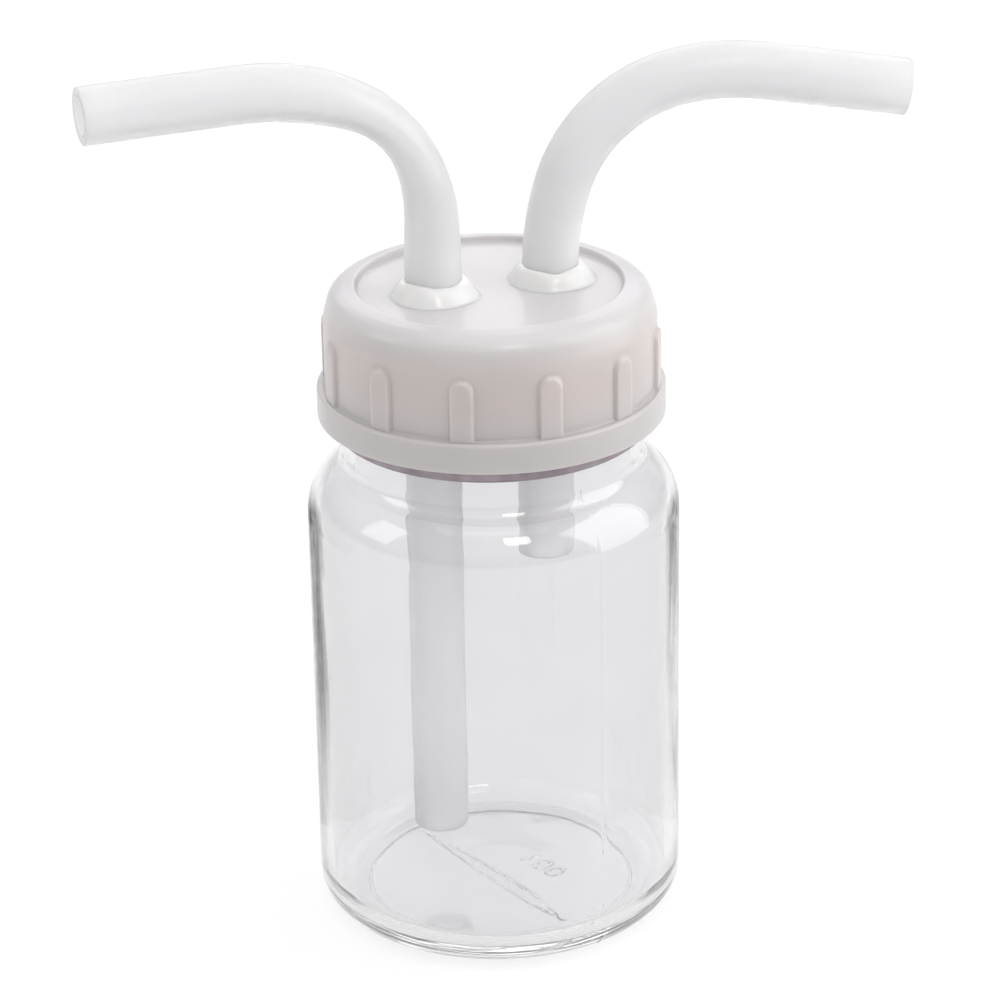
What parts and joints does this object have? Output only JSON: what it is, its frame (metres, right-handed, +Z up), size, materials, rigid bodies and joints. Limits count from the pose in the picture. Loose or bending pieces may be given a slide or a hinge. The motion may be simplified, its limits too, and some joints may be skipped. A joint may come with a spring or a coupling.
{
  "type": "gas wash bottle",
  "caption": "Clear wide-mouth bottle with a ribbed screw cap; a long dip tube and a short outlet tube are glued through the cap so gas can be bubbled through a liquid.",
  "frame": {"origin": "centre of the ring the bottle stands on", "axes": "+Z up along the bottle; +X from the inlet tube's hole towards the outlet tube's hole; the front is -Y"},
  "size_m": [0.1107, 0.051, 0.1251],
  "materials": {
    "clear_plastic": "clear, polished",
    "gasket_rubber": "matt, reddish brown",
    "cap_plastic": "natural translucent white, satin",
    "tube_silicone": "translucent silicone, satin",
    "adhesive": "milky, glossy"
  },
  "bodies": {
    "bottle_body": {"bottle": "clear_plastic"},
    "gasket_body": {"seal_gasket": "gasket_rubber"},
    "cap_body": {"screw_cap": "cap_plastic", "inlet_tube": "tube_silicone", "outlet_tube": "tube_silicone", "inlet_adhesive": "adhesive", "outlet_adhesive": "adhesive"}
  },
  "joints": [
    {"name": "gasket_lift", "type": "slide", "parent": "bottle_body", "child": "gasket_body", "axis": [0, 0, 1], "range_m": [0, 0.00601]},
    {"name": "cap_turn", "type": "hinge", "parent": "gasket_body", "child": "cap_body", "pos_m": [0, 0, 0.089], "axis": [0, 0, 1], "range_deg": [0, 540]}
  ],
  "couplings": [
    {"joint": "gasket_lift", "follows": "cap_turn", "m_per_rad": 0.00063662}
  ]
}
